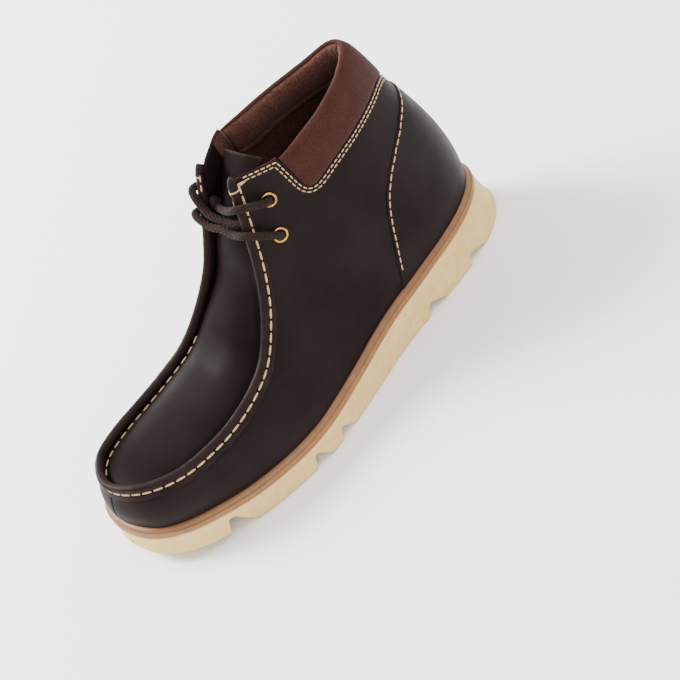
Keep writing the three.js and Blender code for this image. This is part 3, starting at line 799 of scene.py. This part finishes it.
collar_rows = np.unique(np.concatenate([np.linspace(COLLAR, 2 * LAST - COLLAR, 260),
                                        LAST + np.linspace(-0.3, 0.3, 41)]))
from_end = np.minimum(collar_rows - COLLAR, 2 * LAST - COLLAR - collar_rows)
thick = PAD * (PAD_AT_END + (1 - PAD_AT_END) * soft_step(from_end, 0, 1))
creased = (0.3 * np.sin(collar_rows * 9) * np.sin(collar_rows * 3.7)
           + CREASE * np.exp(-((collar_rows - LAST) / CREASE_WIDE) ** 2))
collar_rows = signed(collar_rows)
low = edge_up(collar_rows)
collar_lines = [skin(collar_rows, low + (1 - low) * share, off * thick + creased * (off < -0.6))
                for share, off in OUTSIDE + INSIDE]
collar_zone = [0] * len(OUTSIDE) + [1] * len(INSIDE)
collar = piece("padded_collar", drape(np.stack(collar_lines, 1), ring=True, zone=collar_zone),
               [suede, lining], "suede", "collar")


# All the seams are sewn with thick waxed cream thread: long stitches by hand along the roll, and
# short ones by machine along the facings, under the collar and down the counter.
STITCHES = {
    # pitch, length, wide and high
    "seam": (SEAM_PITCH, 6.0, 1.35, 1.15), "apron": (SEAM_PITCH, 5.2, 1.1, 0.9),
    "roll_end": (SEAM_PITCH, 4.6, 1.0, 0.9), "binder": (2.4, 3.0, 0.8, 0.8),
    "knot": (5.5, 5.5, 0.9, 0.8), "hem": (3.6, 2.75, 0.85, 0.7), "counter": (5.2, 4.2, 0.95, 0.7),
}
thread = finish("thread", (0.46, 0.31, 0.16), 0.7, Specular_IOR_Level=0.2)
twist_run = node(thread, "Mapping", Vector=place_in(thread, "UV"), Scale=(1, 4, 1))
twist = node(thread, "TexWave", {"wave_type": "BANDS", "bands_direction": "DIAGONAL"},
             Vector=twist_run, Scale=1.5, Distortion=0.5)
into(thread, "Base Color", tint(thread, twist, (0.34, 0.21, 0.10), (0.54, 0.38, 0.21)))
relief(thread, [(twist, 0.12, 0.7)])


def sew(made, line, out, pitch, length, wide, high):
    """Lays a row of stitches along a line of places; out is the way each stands off the leather."""
    far = length_along(line)
    count = max(1, round(far[-1] / pitch))

    def at(distance, places):
        return np.array([np.interp(distance, far, places[:, k]) for k in range(3)])
    for n in range(count):
        centre = (n + 0.5) * far[-1] / count
        ends = at(centre - length / 2, line), at(centre + length / 2, line)
        along = unit(ends[1] - ends[0])
        up = at(centre, out)
        up = unit(up - along * (up @ along))
        side = np.cross(up, along)
        place = ((ends[0] + ends[1]) / 2 + TO_MIDDLE) * MM
        axes = [side * wide / 2 * MM, up * high / 2 * MM, along * length / 2 * MM]
        matrix = Matrix([[*(float(axis[k]) for axis in axes), float(place[k])] for k in range(3)]
                        + [[0, 0, 0, 1]])
        stitch = bmesh.ops.create_uvsphere(made, u_segments=10, v_segments=8, radius=1,
                                           calc_uvs=True)["verts"]
        for vert in stitch:
            blunt = max(math.hypot(*vert.co.xy), 1e-6) ** -0.5
            vert.co.x, vert.co.y = vert.co.x * blunt, vert.co.y * blunt
        bmesh.ops.transform(made, matrix=matrix, verts=stitch)


def thread_piece(name, runs):
    """One piece of all these runs of stitches: each is a line, the way out and a kind of stitch."""
    made = bmesh.new()
    made.loops.layers.uv.new("UVMap")
    for line, out, kind in runs:
        sew(made, line, out, *STITCHES[kind])
    for face in made.faces:
        face.smooth = True
    piece(name, made, [thread])


stitched_rows = np.linspace(-11.75, 11.75, 900)
at, stand, aside = seam_sides(stitched_rows)
seam_line = at + aside * 0.25 + stand * 0.95
apron_rows = np.linspace(-6.5, 6.2, 700)
apron_wide = np.linalg.norm(skin(apron_rows, 1) - skin(-apron_rows, 1), axis=-1)
apron_line = front_at(np.abs(apron_rows), np.sign(apron_rows)
                      * np.maximum(1 - 2 * FURROW_AT / apron_wide, 0), 0.25)
seam_runs = [(seam_line, unit(aside + stand), "seam"),
             (apron_line, seam_sides(apron_rows)[1], "apron")]
for side in (1, -1):
    end_rows = side * np.linspace(10.6, 11.6, 60)
    inner_side = by_seam(end_rows, -ROLL_IN - ROLL_WIDE / 2 - 0.1, 1.6)
    seam_runs.append((inner_side, -seam_sides(end_rows)[2], "roll_end"))
thread_piece("seam_stitches", seam_runs)

# Each end of the roll is bound by two turns of thread, and knotted to the corner of its facing.
BOUND_AT, BOUND_OUT, HEM_FROM = (11.35, 11.33), 0.2, 12.25
binders = []
for side in (1, -1):
    for row in BOUND_AT:
        turn = np.radians(np.linspace(-20, 185, 40))
        loop = by_seam(np.full(40, side * row),
                       (ROLL_WIDE / 2 + BOUND_OUT) * np.cos(turn) - ROLL_IN,
                       ROLL_UP + (ROLL_HIGH / 2 + BOUND_OUT) * np.sin(turn))
        middle = by_seam(side * row, -ROLL_IN, ROLL_UP)
        binders.append((loop, unit(loop - middle), "binder"))
    corner = beside(np.array([side * HEM_FROM]), 2.6, 0.5)[0]
    top_end, lower_end = by_seam(side * 11.75, 0.6, 1.4), by_seam(side * 11.55, 0.6, 1.2)
    for start, end in ((top_end, corner), (lower_end, corner + (corner - top_end) * 0.25)):
        knot = start + (end - start) * np.linspace(0, 1, 12)[:, None]
        binders.append((knot, np.tile(outward(side * 12.0, 0.97), (12, 1)), "knot"))
thread_piece("binding_stitches", binders)

HEM_LINES = (1.8, 3.9)
CORNER_ROW, CORNER_UP = EDGE[0]
PAST_CORNER = 14.3
CORNER_ROW_MM, ROW_MM, RIB_MM, TOP_RIB_MM = 13, 18, 125, 124      # about how long each is here


def hem(side, distance):
    """The line of a hem this far inside the leather's edge, with the way the leather faces."""
    rows = np.linspace(HEM_FROM, CORNER_ROW - distance / CORNER_ROW_MM, 40)
    ups = CORNER_UP - distance / rise(rows)
    run = np.hypot(np.diff(EDGE[:, 0]) * ROW_MM, np.diff(EDGE[:, 1]) * RIB_MM)
    far = np.concatenate([[0], np.cumsum(run)])
    where = np.linspace(0, 1, 400) ** 1.5 * far[-1]
    edge = np.stack([np.interp(where, far, EDGE[:, k]) for k in (0, 1)], -1)
    for _ in range(6):
        edge[1:-1] = (edge[:-2] + edge[1:-1] * 2 + edge[2:]) / 4
    line = skin(side * edge[:, 0], edge[:, 1])
    faces = outward(side * edge[:, 0], edge[:, 1])
    line = line + unit(np.cross(np.gradient(line, axis=0), faces)) * side * distance
    below = (edge[:, 1] < CORNER_UP - distance / TOP_RIB_MM) | (edge[:, 0] > PAST_CORNER)
    return (np.concatenate([skin(side * rows, ups), line[below]]),
            np.concatenate([outward(side * rows, ups), faces[below]]))


hems = []
for side in (1, -1):
    for distance in HEM_LINES:
        line, faces = hem(side, distance)
        hems.append((line + faces * 0.15, faces, "hem"))
thread_piece("hem_stitches", hems)

SEWN_IN = 2.0
sewn_rows = round_heel(14.3, 400)
sewn_edge = skin(sewn_rows, counter_up(sewn_rows), np.full(len(sewn_rows), COUNTER))
faces = outward(sewn_rows, counter_up(sewn_rows))
sewn_line = sewn_edge + unit(np.cross(np.gradient(sewn_edge, axis=0), faces)) * SEWN_IN
thread_piece("counter_stitches", [(sewn_line + faces * 0.1, faces, "counter")])


# The eyelets are rings of thin brass sheet, two on each facing. Each is pushed through the leather
# from the front, and its tube is rolled over behind.
EYELET = 9.5
EYELETS = {
    # row and share up the rib, and the row where the lace crosses the seam on each side
    "lower": (COLLAR - 3.3, 0.745, {1: 10.05, -1: -9.85}),
    "upper": (COLLAR - 1.65, 0.84, {1: 10.75, -1: -10.6}),
}
RING = [
    # from the hole's middle and off the leather, as shares of the ring's size
    (0.5, 0.04), (0.505, 0.08), (0.49, 0.13), (0.455, 0.16), (0.41, 0.17), (0.36, 0.155),
    (0.315, 0.12), (0.30, 0.07), (0.30, -0.37), (0.47, -0.37), (0.47, -0.31), (0.36, -0.31),
    (0.36, 0.04),
]
brass = finish("brass", (0.36, 0.20, 0.055), 0.25, Metallic=1.0)
into(brass, "Roughness", spread(brass, grain(brass, 1.5, 3), 0.3, 0.7, 0.16, 0.30))
mottle(brass, grain(brass, 2.5, 2), 0.35, 0.7, (0.27, 0.150, 0.034), (0.45, 0.265, 0.075))
relief(brass, [(grain(brass, 0.6), 0.03, 0.3)])
for side, where in [(1, "outer"), (-1, "inner")]:
    for level, (row, up, crossing) in EYELETS.items():
        made = bmesh.new()
        loop = [made.verts.new((r * EYELET * MM, 0, z * EYELET * MM)) for r, z in RING]
        edges = [made.edges.new((loop[n - 1], loop[n])) for n in range(len(loop))]
        bmesh.ops.spin(made, geom=loop + edges, cent=(0, 0, 0), axis=(0, 0, 1),
                       angle=2 * math.pi, steps=40, use_merge=True)
        bmesh.ops.recalc_face_normals(made, faces=made.faces)
        for face in made.faces:
            face.smooth = True
        facing = Vector(outward(side * row, up)).to_track_quat("Z", "Y").to_matrix().to_4x4()
        place = Matrix.Translation((skin(side * row, up) + TO_MIDDLE) * MM)
        bmesh.ops.transform(made, matrix=place @ facing, verts=made.verts)
        piece(f"eyelet_ring_{where}_{level}", made, [brass], "brass", f"eyelet_{where}_{level}")


# The lace is one round braided cord of dark brown cotton. It runs through all four eyelets, over
# the seams and across the tongue, and its ends are hidden behind the upper eyelets.
LACE, STRANDS, BRAID, BRAID_PITCH = 4.7, 6, 0.12, 3.4
THROUGH = [
    # off the leather, forward to the seam
    (-5.7, 0.1), (-4.2, -0.25), (-1, 0), (1.2, 0), (3.5, 1.5), (4.4, 4.6),
]


def through(side, level):
    """The lace's way out through an eyelet and on to the seam."""
    row, up, crossing = EYELETS[level]
    to_front = unit(skin(crossing[side], 1) - skin(side * row, up))
    return [skin(side * row, up, off) + to_front * forward for off, forward in THROUGH]


def over_seam(side, level):
    return by_seam(EYELETS[level][2][side], 0.4 - ROLL_IN,
                   ROLL_UP + ROLL_HIGH / 2 + LACE / 2 + 0.7)


def under_seam(row):
    return by_seam(row, -ROLL_IN - 1.2, ROLL_UP - ROLL_WIDE / 2 - LACE / 2 - 0.5)


def on_tongue(share, across, lift=0.0):
    return tongue_at(share, np.array(across), LACE / 2 + 0.9 + lift)


route = np.array([
    *through(-1, "upper"), over_seam(-1, "upper"), on_tongue(0.59, -0.75, 6.2),
    on_tongue(0.565, 0), on_tongue(0.57, 0.7), under_seam(10.15),
    *through(1, "lower"), over_seam(1, "lower"), on_tongue(0.52, 0.7, 3.8),
    on_tongue(0.525, 0.08, 2.4), on_tongue(0.515, -0.7, 5.4), over_seam(-1, "lower"),
    *through(-1, "lower")[::-1], under_seam(-10.35), on_tongue(0.62, -0.75),
    on_tongue(0.63, 0, 0.3), on_tongue(0.655, 0.6, 5.2), over_seam(1, "upper"),
    *through(1, "upper")[::-1],
])


def cord_line(points, fine=24):
    """A smooth line through points that are unevenly spaced."""
    points = np.vstack([2 * points[0] - points[1], points, 2 * points[-1] - points[-2]])
    made = []
    for a, b, c, d in zip(points, points[1:], points[2:], points[3:]):
        before, here, after = (np.linalg.norm(q - p) ** 0.5 for p, q in ((a, b), (b, c), (c, d)))
        leave = ((b - a) / before - (c - a) / (before + here) + (c - b) / here) * here
        reach = ((c - b) / here - (d - b) / (here + after) + (d - c) / after) * here
        t = np.linspace(0, 1, fine, endpoint=False)[:, None]
        made.append(b + t * leave + t ** 2 * (3 * (c - b) - 2 * leave - reach)
                    + t ** 3 * (2 * (b - c) + leave + reach))
    return np.vstack([*made, points[-2:-1]])


def even(line, step):
    """The same line with places this many millimetres apart."""
    far = length_along(line)
    at = np.linspace(0, far[-1], round(far[-1] / step))
    return np.stack([np.interp(at, far, line[:, k]) for k in range(3)], -1)


def braid(line, radius, sides):
    """A round cord along a line, lifted where two sets of strands cross each other round it."""
    run = unit(np.gradient(line, axis=0))
    up = [unit(np.cross(run[0], np.array([0.3, 0.5, 0.8])))]
    for way in run[1:]:
        up.append(unit(up[-1] - way * np.dot(up[-1], way)))
    up = np.array(up)
    aside = np.cross(run, up)
    wind = 2 * np.pi * length_along(line)[:, None] / BRAID_PITCH
    turn = np.linspace(0, 2 * np.pi, sides, endpoint=False)[None]
    strands = np.maximum(np.cos(STRANDS * turn + wind), np.cos(STRANDS * turn - wind))
    size = radius * (1 - BRAID + BRAID * strands)
    return (line[:, None] + up[:, None] * (size * np.cos(turn))[..., None]
            + aside[:, None] * (size * np.sin(turn))[..., None])


cotton = finish("lace_cotton", (0.0150, 0.0075, 0.0060), 0.9, Specular_IOR_Level=0.1,
                Sheen_Weight=0.03, Sheen_Roughness=0.5)
mottle(cotton, grain(cotton, 1.2, 3), 0.3, 0.7,
       (0.0095, 0.0046, 0.0036), (0.0225, 0.0118, 0.0095))
relief(cotton, [(grain(cotton, 0.3, 2), 0.1, 0.5)])
piece("braided_lace", drape(braid(even(cord_line(route), 0.3), LACE / 2, 36), ring=True),
      [cotton], "lace", "lace")
